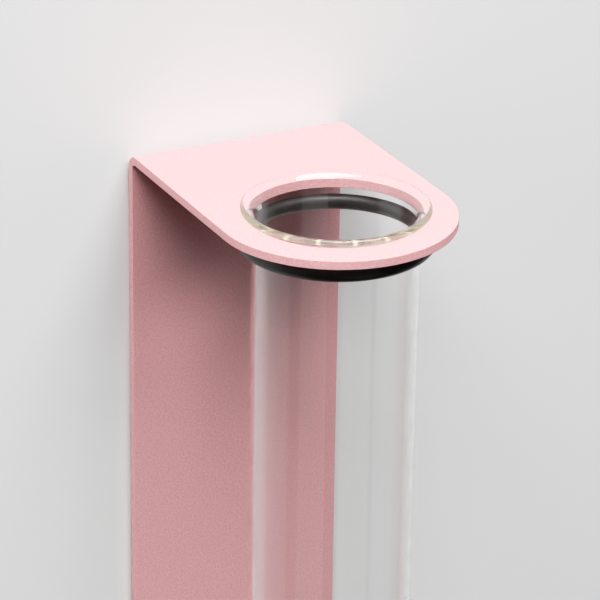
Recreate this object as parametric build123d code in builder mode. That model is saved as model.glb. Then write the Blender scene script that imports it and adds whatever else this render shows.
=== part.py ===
"""Wall mounted glass flower tube.

A strip of sheet steel is folded into a wall plate and a round nosed shelf. A glass test tube hangs in the
shelf's hole by its flared lip, and a rubber ring on the tube, under the shelf, keeps it from lifting out.

Millimetres. The wall is the plane Y = 0, the shelf points to -Y and +Z is up. The origin lies on the wall,
midway between the two screw holes.
"""

import os
from math import acos, cos, degrees, sin

from build123d import *

os.makedirs("parts", exist_ok=True)

# Bracket, with its coat
plate_width = 57.3
plate_height = 220.0
sheet = 2.15
bend_inside_radius = 1.75
axis_from_wall = 54.7
foot_corner_radius = 3.0
edge_radius = 0.15

# Screw holes in the plate
screw_hole_diameter = 5.0
screw_hole_spacing = 180.0

# Glass tube
tube_diameter = 40.0
tube_length = 200.0
glass_wall = 1.3
bottom_thickening = 0.6
flare_radius = 2.5
lip_thickness = 1.65

# Rubber ring
ring_section = 3.7
ring_below_shelf = 2.05

# Fits: the hole passes the tube, the lip overhangs the hole, and the ring's bore clears the glass
tube_hole_clearance = 1.0
lip_overhang = 1.45
lip_seat_clearance = 0.15
ring_bore_clearance = 0.08

# Heights and places that follow from the sizes above
plate_top = plate_height / 2
plate_foot = -plate_height / 2
shelf_depth = axis_from_wall + plate_width / 2
tube_radius = tube_diameter / 2
hole_radius = tube_radius + tube_hole_clearance
lip_radius = hole_radius + lip_overhang
tube_plane = Plane(origin=(0, -axis_from_wall, 0), x_dir=(1, 0, 0), z_dir=(0, -1, 0))
tube_axis = Axis((0, -axis_from_wall, 0), (0, 0, 1))


# Bracket: the folded profile is drawn from the side and given its width, then trimmed to the shelf's plan
with BuildPart() as wall_bracket:
    with BuildSketch(Plane.YZ):
        with BuildLine():
            outside = FilletPolyline(
                (0, plate_foot),
                (0, plate_top),
                (-shelf_depth, plate_top),
                radius=bend_inside_radius + sheet,
            )
            inside = FilletPolyline(
                (-sheet, plate_foot),
                (-sheet, plate_top - sheet),
                (-shelf_depth, plate_top - sheet),
                radius=bend_inside_radius,
            )
            Line(outside @ 0, inside @ 0)
            Line(outside @ 1, inside @ 1)
        make_face()
    extrude(amount=plate_width / 2, both=True)

    with BuildSketch(Plane.XY.offset(plate_foot)):
        with Locations((0, -axis_from_wall / 2)):
            Rectangle(plate_width, axis_from_wall)
        with Locations((0, -axis_from_wall)):
            Circle(plate_width / 2)
    extrude(amount=plate_height, mode=Mode.INTERSECT)

    foot_corners = wall_bracket.edges().filter_by(Axis.Y).group_by(Axis.Z)[0]
    fillet(foot_corners, foot_corner_radius)

    with Locations((0, -axis_from_wall, plate_top)):
        Hole(radius=hole_radius, depth=sheet)

    with Locations(Plane.XZ.offset(sheet)):
        with GridLocations(0, screw_hole_spacing, 1, 2):
            Hole(radius=screw_hole_diameter / 2, depth=sheet)

    # The coating rounds every cut edge, but not the bend lines or the seams through the sheet
    across = wall_bracket.edges().filter_by(Axis.X)
    bend_lines = across - across.group_by(Axis.Z)[0]
    straight = wall_bracket.edges().filter_by(GeomType.LINE)
    seams = straight.filter_by(lambda edge: edge.length < sheet + edge_radius)
    fillet(wall_bracket.edges() - bend_lines - seams, edge_radius)

wall_bracket.part.label = "wall_bracket"
export_step(wall_bracket.part, "parts/wall_bracket.step")


# Glass tube: half of its section is turned about the axis. The flare's underside seats on the hole's edge
bore_radius = tube_radius - glass_wall
flare_centre_radius = tube_radius + flare_radius
seat_angle = acos((flare_centre_radius - hole_radius) / flare_radius)
flare_height = plate_top + lip_seat_clearance - flare_radius * sin(seat_angle)
middle_of_lip = flare_radius + lip_thickness / 2
lip_angle = acos((flare_centre_radius + lip_thickness / 2 - lip_radius) / middle_of_lip)
lip_top = flare_height + middle_of_lip * sin(lip_angle) + lip_thickness / 2
bottom_centre_height = lip_top - tube_length + tube_radius
inside_centre_height = bottom_centre_height + bottom_thickening

# Inside, the flare is one arc from the bore to the fire polished lip, so the glass thickens on the way
lip_far_side = flare_radius + lip_thickness
lip_mouth_radius = flare_centre_radius - lip_far_side * cos(lip_angle)
inside_flare_radius = (lip_mouth_radius - bore_radius) / (1 - cos(lip_angle))
inside_flare_height = flare_height + (lip_far_side - inside_flare_radius) * sin(lip_angle)

with BuildPart() as glass_tube:
    with BuildSketch(tube_plane):
        with BuildLine():
            bottom_outside = CenterArc((0, bottom_centre_height), tube_radius, 270, 90)
            flare_outside = CenterArc(
                (flare_centre_radius, flare_height), flare_radius, 180, -degrees(lip_angle)
            )
            Line(bottom_outside @ 1, flare_outside @ 0)
            flare_inside = CenterArc(
                (bore_radius + inside_flare_radius, inside_flare_height),
                inside_flare_radius,
                180,
                -degrees(lip_angle),
            )
            TangentArc(flare_outside @ 1, flare_inside @ 1, tangent=flare_outside % 1)
            bottom_inside = CenterArc((0, inside_centre_height), bore_radius, 270, 90)
            Line(flare_inside @ 0, bottom_inside @ 1)
            Line(bottom_inside @ 0, bottom_outside @ 0)
        make_face()
    revolve(axis=tube_axis)

glass_tube.part.label = "glass_tube"
export_step(glass_tube.part, "parts/glass_tube.step")


# Rubber ring: a round section turned about the tube's axis, just clear of the glass
ring_radius = tube_radius + ring_bore_clearance + ring_section / 2
ring_height = plate_top - sheet - ring_below_shelf - ring_section / 2

with BuildPart() as rubber_ring:
    with BuildSketch(tube_plane):
        with Locations((ring_radius, ring_height)):
            Circle(ring_section / 2)
    revolve(axis=tube_axis)

rubber_ring.part.label = "rubber_ring"
export_step(rubber_ring.part, "parts/rubber_ring.step")
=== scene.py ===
from math import acos, cos, degrees, pi, radians, sin

import bmesh
import bpy
from mathutils import Matrix, Vector


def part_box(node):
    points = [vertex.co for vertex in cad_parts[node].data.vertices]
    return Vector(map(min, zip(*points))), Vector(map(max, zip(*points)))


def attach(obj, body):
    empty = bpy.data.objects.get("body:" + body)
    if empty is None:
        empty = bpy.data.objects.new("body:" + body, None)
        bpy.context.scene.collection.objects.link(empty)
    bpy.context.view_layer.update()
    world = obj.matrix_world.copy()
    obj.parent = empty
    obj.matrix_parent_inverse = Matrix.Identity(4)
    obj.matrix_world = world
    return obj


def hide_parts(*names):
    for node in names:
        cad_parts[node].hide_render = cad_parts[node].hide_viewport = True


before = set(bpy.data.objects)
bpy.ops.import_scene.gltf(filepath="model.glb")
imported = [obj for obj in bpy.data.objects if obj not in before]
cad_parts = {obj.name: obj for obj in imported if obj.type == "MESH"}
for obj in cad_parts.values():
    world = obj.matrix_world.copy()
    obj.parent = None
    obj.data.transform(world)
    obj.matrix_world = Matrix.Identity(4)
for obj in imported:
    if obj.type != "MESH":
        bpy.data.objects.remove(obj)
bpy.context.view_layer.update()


# Wall bracket
# One strip of 2 mm sheet steel, cut to a round nose, punched for the tube and folded once.
# It is powder coated in a matt pale pink, with the fine orange peel that such a coat dries to.
def plain_material(name):
    """A new material and its shader node."""
    material = bpy.data.materials.new(name)
    material.use_nodes = True
    return material, material.node_tree.nodes["Principled BSDF"]


def feed(owner, socket, value):
    """Gives a node's input a value, or the output of another node."""
    if isinstance(value, bpy.types.NodeSocket):
        owner.node_tree.links.new(value, socket)
    else:
        socket.default_value = value


def set_node(owner, node, **settings):
    """Sets a node's inputs and properties by name."""
    for name, value in settings.items():
        socket = next((s for s in node.inputs if s.name.replace(" ", "_").lower() == name), None)
        if socket is None:
            setattr(node, name, value)
        else:
            feed(owner, socket, value)


def add_node(owner, kind, **settings):
    """A new node of that kind, with its inputs and properties set by name."""
    node = owner.node_tree.nodes.new("ShaderNode" + kind)
    set_node(owner, node, **settings)
    return node


def work_out(owner, operation, *terms):
    """The result of a sum on these terms, which are numbers or other nodes' outputs."""
    node = add_node(owner, "Math", operation=operation)
    for socket, term in zip(node.inputs, terms):
        feed(owner, socket, term)
    return node.outputs["Value"]


def two_tones(owner, pattern, low, low_colour, high, high_colour):
    """A colour that goes from one tone at a low level of the pattern to another at a high level."""
    ramp = add_node(owner, "ValToRGB", fac=pattern)
    low_stop, high_stop = ramp.color_ramp.elements
    low_stop.position = low
    low_stop.color = low_colour
    high_stop.position = high
    high_stop.color = high_colour
    return ramp.outputs["Color"]


coat, coat_shader = plain_material("pink_coat")
coat_place = add_node(coat, "TexCoord").outputs["Object"]

# Fine orange peel: soft grains about half a millimetre across, bumped, and painted a little paler on top and
# darker between, as painted shade of the grains
peel = add_node(coat, "TexNoise", vector=coat_place, scale=1900.0, detail=1.0, roughness=0.5).outputs["Fac"]
# The grain's colour is painted shade: paler where the bump is high, darker where it is low
peel_painted_shade = two_tones(coat, peel, 0.3, (0.566, 0.282, 0.292, 1), 0.7, (0.654, 0.335, 0.345, 1))
peel_bump = add_node(coat, "Bump", height=peel, strength=0.5, distance=0.0002)

# Painted shade: faces that look forward or down throw on a deeper pink than they show,
# so the shade in the corner under the shelf is painted a deeper pink than the light there gives
facing = add_node(coat, "SeparateXYZ", vector=add_node(coat, "NewGeometry").outputs["Normal"])
forward_or_down = work_out(coat, "MINIMUM", facing.outputs["Y"], facing.outputs["Z"])
painted_shade_faces = work_out(coat, "LESS_THAN", forward_or_down, -0.5)
thrown_on = add_node(coat, "LightPath").outputs["Is Diffuse Ray"]
painted_pink_shade = work_out(coat, "MULTIPLY", thrown_on, painted_shade_faces)
# The deeper pink thrown on from these faces is painted shade
coat_colour_and_painted_shade = add_node(coat, "MixRGB", fac=painted_pink_shade, color1=peel_painted_shade, color2=(1.0, 0.22, 0.22, 1))
set_node(
    coat,
    coat_shader,
    base_color=coat_colour_and_painted_shade.outputs["Color"],
    roughness=0.6,
    specular_ior_level=0.25,
    normal=peel_bump.outputs["Normal"],
)

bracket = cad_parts["wall_bracket"]
bracket.data.materials.clear()
bracket.data.materials.append(coat)


# Glass tube
# A test tube of clear borosilicate glass, drawn with a round bottom. Its mouth is flared in the flame and
# fire polished to a rounded lip, and the flare's underside hangs on the edge of the shelf's hole.
tube_low, tube_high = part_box("glass_tube")
tube_axis = Vector(((tube_low.x + tube_high.x) / 2, (tube_low.y + tube_high.y) / 2, 0))
tube_radius = 0.0200
glass_wall = 0.0013
bottom_thickening = 0.0006
flare_radius = 0.0025
lip_thickness = 0.00165
lip_radius = (tube_high.x - tube_low.x) / 2
bore_radius = tube_radius - glass_wall


def arc(centre, radius, start, turn, steps):
    """Points on an arc, as (distance from the axis, height), from the start angle through the turn."""
    angles = [radians(start + turn * i / steps) for i in range(steps + 1)]
    return [(centre[0] + radius * cos(a), centre[1] + radius * sin(a)) for a in angles]


def turned(name, profile, around, closed=False):
    """An object turned about the tube's axis, in so many steps, from a profile of points like an arc's."""
    shape = bmesh.new()
    corners = [shape.verts.new((tube_axis.x + r, tube_axis.y, z)) for r, z in profile]
    pairs = list(zip(corners, corners[1:]))
    if closed:
        pairs.append((corners[-1], corners[0]))
    lines = [shape.edges.new(pair) for pair in pairs]
    bmesh.ops.spin(
        shape, geom=corners + lines, cent=tube_axis, axis=(0, 0, 1), angle=2 * pi, steps=around
    )
    bmesh.ops.remove_doubles(shape, verts=shape.verts, dist=1e-7)
    bmesh.ops.recalc_face_normals(shape, faces=shape.faces)
    mesh = bpy.data.meshes.new(name)
    shape.to_mesh(mesh)
    shape.free()
    mesh.shade_smooth()
    piece = bpy.data.objects.new(name, mesh)
    bpy.context.scene.collection.objects.link(piece)
    return piece


# The flare turns out to the lip, and inside one arc leads from the bore to the lip, so the glass thickens
flare_centre_radius = tube_radius + flare_radius
middle_of_lip = flare_radius + lip_thickness / 2
lip_angle = acos((flare_centre_radius + lip_thickness / 2 - lip_radius) / middle_of_lip)
lip_turn = degrees(lip_angle)
flare_height = tube_high.z - lip_thickness / 2 - middle_of_lip * sin(lip_angle)
flare_centre = (flare_centre_radius, flare_height)
lip_centre = (flare_centre_radius - middle_of_lip * cos(lip_angle), tube_high.z - lip_thickness / 2)
lip_far_side = flare_radius + lip_thickness
lip_mouth_radius = flare_centre_radius - lip_far_side * cos(lip_angle)
inside_flare_radius = (lip_mouth_radius - bore_radius) / (1 - cos(lip_angle))
inside_flare_centre = (
    bore_radius + inside_flare_radius,
    flare_height + (lip_far_side - inside_flare_radius) * sin(lip_angle),
)
bottom_centre = (0, tube_low.z + tube_radius)
inside_centre = (0, bottom_centre[1] + bottom_thickening)

outside = arc(bottom_centre, tube_radius, 270, 90, 32) + arc(flare_centre, flare_radius, 180, -lip_turn, 16)
lip = arc(lip_centre, lip_thickness / 2, -lip_turn, 180, 16)[1:-1]
inside = arc(inside_flare_centre, inside_flare_radius, 180 - lip_turn, lip_turn, 16)
inside += arc(inside_centre, bore_radius, 0, -90, 32)

# The steps round the tube are small, because light that the wall guides to the lip meets it many times
tube = turned("glass_tube_clear", outside + lip + inside, around=384)


def mix_shaders(owner, share, first, second):
    """A mix of two shaders, by the share of the second, as what the material shows."""
    mix = add_node(owner, "MixShader", fac=share)
    feed(owner, mix.inputs[1], first.outputs["BSDF"])
    feed(owner, mix.inputs[2], second.outputs["BSDF"])
    set_node(owner, owner.node_tree.nodes["Material Output"], surface=mix.outputs["Shader"])


glass, glass_shader = plain_material("clear_borosilicate")
set_node(glass, glass_shader, base_color=(1, 1, 1, 1), transmission_weight=1.0, roughness=0.0, ior=1.473)
glass_tint = add_node(glass, "VolumeAbsorption", color=(0.94, 1.0, 0.84, 1), density=2.2)
set_node(glass, glass.node_tree.nodes["Material Output"], volume=glass_tint.outputs["Volume"])

# Lamps and soft light go straight through the thin wall
glass_ray = add_node(glass, "LightPath")
to_a_lamp = glass_ray.outputs["Is Shadow Ray"]
soft_ray = work_out(glass, "MAXIMUM", to_a_lamp, glass_ray.outputs["Is Diffuse Ray"])
clear_way = add_node(glass, "BsdfTransparent", color=(0.985, 0.99, 0.985, 1))
mix_shaders(glass, soft_ray, glass_shader, clear_way)

tube.data.materials.append(glass)
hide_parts("glass_tube")
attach(tube, "tube")


# Rubber ring
# A moulded ring of black rubber with a round section, stretched over the glass just under the shelf.
# It grips by its own stretch and is wider than the hole, so the tube can't be knocked up and out.
ring_low, ring_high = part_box("rubber_ring")
section_radius = (ring_high.z - ring_low.z) / 2
ring_centre = ((ring_high.x - ring_low.x) / 2 - section_radius, (ring_low.z + ring_high.z) / 2)
mould_seam = 0.00004
ring_profile = arc(ring_centre, section_radius, 0, 360, 96)[:-1]
ring_profile[0] = (ring_profile[0][0] + mould_seam, ring_profile[0][1])
ring = turned("rubber_ring_black", ring_profile, around=192, closed=True)

# Rubber: near black, with a faint dusty bloom and the fine grain of the mould
rubber, rubber_shader = plain_material("moulded_rubber")
rubber_place = add_node(rubber, "TexCoord").outputs["Object"]
bloom = add_node(rubber, "TexNoise", vector=rubber_place, scale=220.0, detail=3.0).outputs["Fac"]
bloom_colour = two_tones(rubber, bloom, 0.35, (0.008, 0.006, 0.005, 1), 0.75, (0.016, 0.013, 0.012, 1))
bloom_gloss = add_node(rubber, "MapRange", value=bloom, to_min=0.3, to_max=0.38)
mould_grain = add_node(rubber, "TexNoise", vector=rubber_place, scale=2500.0, detail=1.0).outputs["Fac"]
grain_bump = add_node(rubber, "Bump", height=mould_grain, strength=0.25, distance=0.0001)
set_node(
    rubber,
    rubber_shader,
    base_color=bloom_colour,
    roughness=bloom_gloss.outputs["Result"],
    normal=grain_bump.outputs["Normal"],
)

ring.data.materials.append(rubber)
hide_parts("rubber_ring")
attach(ring, "ring")


# Wall and floor
# The wall is painted a matt near white, and a pale floor lies well below. The wall is open behind the plate,
# where the plate covers it, so that the plate's back gets light. A camera behind either looks through it.
wall_gap = 0.0004
wall_reach = 2.2
floor_reach = 6.6
floor_drop = 0.55
cut_inset = 0.0009
cut_below_bend = 0.0045


def flat_grid(name, xs, ys, skip=()):
    """A flat object made of the rectangles between these lines, without the skipped ones."""
    corners = [(x, y, 0) for y in ys for x in xs]
    wide = len(xs)
    faces = []
    for row in range(len(ys) - 1):
        for column in range(wide - 1):
            if (column, row) not in skip:
                first = row * wide + column
                above = first + wide
                faces.append((first, first + 1, above + 1, above))
    mesh = bpy.data.meshes.new(name)
    mesh.from_pydata(corners, [], faces)
    sheet = bpy.data.objects.new(name, mesh)
    bpy.context.scene.collection.objects.link(sheet)
    return sheet


def stage_paint(name, depth, most, **settings):
    """A matt paint that a camera behind it looks through, as does light past the most of a depth."""
    paint, shader = plain_material(name)
    set_node(paint, shader, roughness=0.9, specular_ior_level=0.2, **settings)
    ray = add_node(paint, "LightPath")
    behind = add_node(paint, "NewGeometry").outputs["Backfacing"]
    camera_behind = work_out(paint, "MULTIPLY", behind, ray.outputs["Is Camera Ray"])
    past = work_out(paint, "GREATER_THAN", ray.outputs[depth], most)
    unseen = work_out(paint, "MAXIMUM", camera_behind, past)
    mix_shaders(paint, unseen, shader, add_node(paint, "BsdfTransparent"))
    return paint


plate_low, plate_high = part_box("wall_bracket")
wall = flat_grid(
    "wall",
    (-wall_reach, plate_low.x + cut_inset, plate_high.x - cut_inset, wall_reach),
    (-floor_drop, plate_low.z + cut_inset, plate_high.z - cut_below_bend, wall_reach),
    skip=[(1, 1)],
)
wall.matrix_world = Matrix.Translation((0, wall_gap, 0)) @ Matrix.Rotation(pi / 2, 4, "X")

# Light that has turned more often than this was guided along inside the glass, and doesn't see the wall
guided_turns = 8.5
wall_paint = stage_paint("pale_wall_paint", "Ray Depth", guided_turns, base_color=(0.615, 0.615, 0.615, 1))
wall.data.materials.append(wall_paint)

# The floor glows a little, so that it stays pale far from the lamps, and the glass doesn't mirror it
floor = flat_grid("floor", (-floor_reach, floor_reach), (-floor_reach, floor_reach))
floor.location.z = -floor_drop
floor.visible_diffuse = False
floor.visible_glossy = False
floor_paint = stage_paint(
    "pale_floor_paint",
    "Glossy Depth",
    0.5,
    base_color=(0.22, 0.22, 0.22, 1),
    emission_color=(1, 1, 1, 1),
    emission_strength=0.36,
)
floor.data.materials.append(floor_paint)


# Light
# Soft square lamps stand round the shelf, as in a studio: overhead, in front, low down and at the sides. One
# behind the wall lights the plate's back through the opening. The glass mirrors none of these.
shelf_middle = Vector((0, -0.05, 0.08))


def soft_lamp(name, azimuth, elevation, width, depth, power, distance=2.0):
    """A soft lamp that faces the shelf, turned to the right of straight in front by the azimuth, and up."""
    data = bpy.data.lights.new(name, "AREA")
    data.shape = "RECTANGLE"
    data.size = width
    data.size_y = depth
    data.energy = power
    lamp = bpy.data.objects.new(name, data)
    bpy.context.scene.collection.objects.link(lamp)
    turn = radians(azimuth)
    rise = radians(elevation)
    outward = Vector((sin(turn) * cos(rise), -cos(turn) * cos(rise), sin(rise)))
    lamp.location = shelf_middle + outward * distance
    lamp.rotation_mode = "QUATERNION"
    lamp.rotation_quaternion = (-outward).to_track_quat("-Z", "Y")
    lamp.visible_camera = False
    return lamp


overhead_lamp = soft_lamp("overhead_lamp", azimuth=-10, elevation=74, width=1.0, depth=0.7, power=45.0)
left_lamp = soft_lamp("left_lamp", azimuth=-35, elevation=52, width=0.8, depth=0.7, power=27.5)
front_lamp = soft_lamp("front_lamp", azimuth=15, elevation=48, width=0.8, depth=0.9, power=30.5)
low_fill = soft_lamp("low_fill", azimuth=-10, elevation=25, width=0.8, depth=0.6, power=8.0)
left_fill = soft_lamp("left_fill", azimuth=-88, elevation=14, width=0.5, depth=0.8, power=24.0)
right_fill = soft_lamp("right_fill", azimuth=86, elevation=14, width=0.5, depth=0.8, power=10.0)
back_lamp = soft_lamp("back_lamp", azimuth=180, elevation=20, width=1.2, depth=0.8, power=60.0)
for lamp in (overhead_lamp, left_lamp, front_lamp, low_fill, left_fill, right_fill, back_lamp):
    lamp.visible_glossy = False
    lamp.visible_transmission = False

# A wide lamp is there only for the highlight on the far side of the lip
lip_lamp = soft_lamp("lip_lamp", azimuth=10, elevation=72, width=1.7, depth=1.6, power=115.0)
lip_lamp.visible_diffuse = False
lip_lamp.visible_transmission = False

# Another is there only for the soft highlight along the rubber ring, seen through the glass
ring_lamp = soft_lamp("ring_lamp", azimuth=-17, elevation=74, width=1.2, depth=0.7, power=20.0)
ring_lamp.data.cycles.use_multiple_importance_sampling = False
ring_lamp.visible_diffuse = False
ring_lamp.visible_transmission = False

# A pale card low in front shows only as the soft upright reflections in the tube
front_card = soft_lamp(
    "front_card", azimuth=4, elevation=-28, width=0.66, depth=0.34, power=0.30, distance=1.0
)
front_card.visible_diffuse = False

room = bpy.data.worlds.new("pale_room")
room.use_nodes = True
room_ray = add_node(room, "LightPath")
looking = add_node(room, "TexCoord").outputs["Generated"]
heading = add_node(room, "SeparateXYZ", vector=looking)

# In the glass the room is dim in front and paler towards the wall
room_depth = add_node(
    room, "MapRange", value=heading.outputs["Y"], from_min=-0.45, from_max=0.0, to_min=0.05, to_max=0.2
)

# Light that the glass guides to the lip comes from a pale floor, a dim room with a pale band,
# and a warm window in front
pale_floor = add_node(
    room, "MapRange", value=heading.outputs["Z"], from_min=-0.1, from_max=0.02, to_min=0.6, to_max=0.03
)
in_band = work_out(room, "COMPARE", heading.outputs["Z"], 0.34, 0.1)
pale_band = add_node(room, "Mix", factor=in_band, a=pale_floor.outputs["Result"], b=0.6)
window_heading = (-0.25, -0.93, 0.27)
towards_window = add_node(room, "VectorMath", operation="DOT_PRODUCT")
feed(room, towards_window.inputs[0], looking)
feed(room, towards_window.inputs[1], window_heading)
in_window = add_node(
    room, "MapRange", value=towards_window.outputs["Value"], from_min=0.89, from_max=0.95
).outputs["Result"]
window = add_node(room, "Mix", factor=in_window, a=pale_band.outputs["Result"], b=2.8)
guided = work_out(room, "GREATER_THAN", room_ray.outputs["Ray Depth"], guided_turns)
warm = work_out(room, "MULTIPLY", guided, in_window)
room_colour = add_node(room, "MixRGB", fac=warm, color1=(1, 1, 1, 1), color2=(1.0, 0.86, 0.68, 1))
glass_view = add_node(
    room, "Mix", factor=guided, a=room_depth.outputs["Result"], b=window.outputs["Result"]
)

# The room shows only in the glass, and as a plain grey past the wall and the floor
first_look = work_out(room, "LESS_THAN", room_ray.outputs["Diffuse Depth"], 0.5)
through_glass = work_out(room, "MULTIPLY", room_ray.outputs["Is Singular Ray"], first_look)
in_glass = work_out(room, "MULTIPLY", through_glass, glass_view.outputs["Result"])
room_level = add_node(room, "Mix", factor=room_ray.outputs["Is Camera Ray"], a=in_glass, b=0.62)
set_node(
    room,
    room.node_tree.nodes["Background"],
    color=room_colour.outputs["Color"],
    strength=room_level.outputs["Result"],
)
bpy.context.scene.world = room

# The picture's bright tones roll off softly, up to a top level above plain white
picture = bpy.context.scene.view_settings
picture.view_transform = "Standard"
picture.use_curve_mapping = True
top_level = 1.6
roll_off = picture.curve_mapping
roll_off.white_level = (top_level, top_level, top_level)
soft_tones = ((0.2, 0.2), (0.45, 0.445), (0.6, 0.572), (0.8, 0.71), (1.0, 0.82), (1.2, 0.90), (1.4, 0.96))
for level, shown in soft_tones:
    roll_off.curves[3].points.new(level / top_level, shown)
roll_off.update()

# Light that is guided along the glass turns very often before it comes out
most_turns = 1000
bpy.context.scene.cycles.max_bounces = most_turns
bpy.context.scene.cycles.glossy_bounces = most_turns
bpy.context.scene.cycles.transmission_bounces = most_turns


# Camera
# The photograph looks down on the shelf from the left, through a long lens.
# Its place, roll and lens come from straight edges and ellipses in the picture.
camera_distance = 0.8266
camera_azimuth = radians(26.96)
camera_elevation = radians(24.15)
camera_roll = radians(0.84)
camera_lens = 203.0
camera_aim = Vector((0.0048, -0.0273, 0.0756))

away = Vector((
    -sin(camera_azimuth) * cos(camera_elevation),
    -cos(camera_azimuth) * cos(camera_elevation),
    sin(camera_elevation),
))
camera_data = bpy.data.cameras.new("camera")
camera_data.lens = camera_lens
camera_data.clip_end = 20
camera = bpy.data.objects.new("camera", camera_data)
bpy.context.scene.collection.objects.link(camera)
camera.matrix_world = (
    Matrix.Translation(camera_aim + away * camera_distance)
    @ (-away).to_track_quat("-Z", "Y").to_matrix().to_4x4()
    @ Matrix.Rotation(camera_roll, 4, "Z")
)
bpy.context.scene.camera = camera
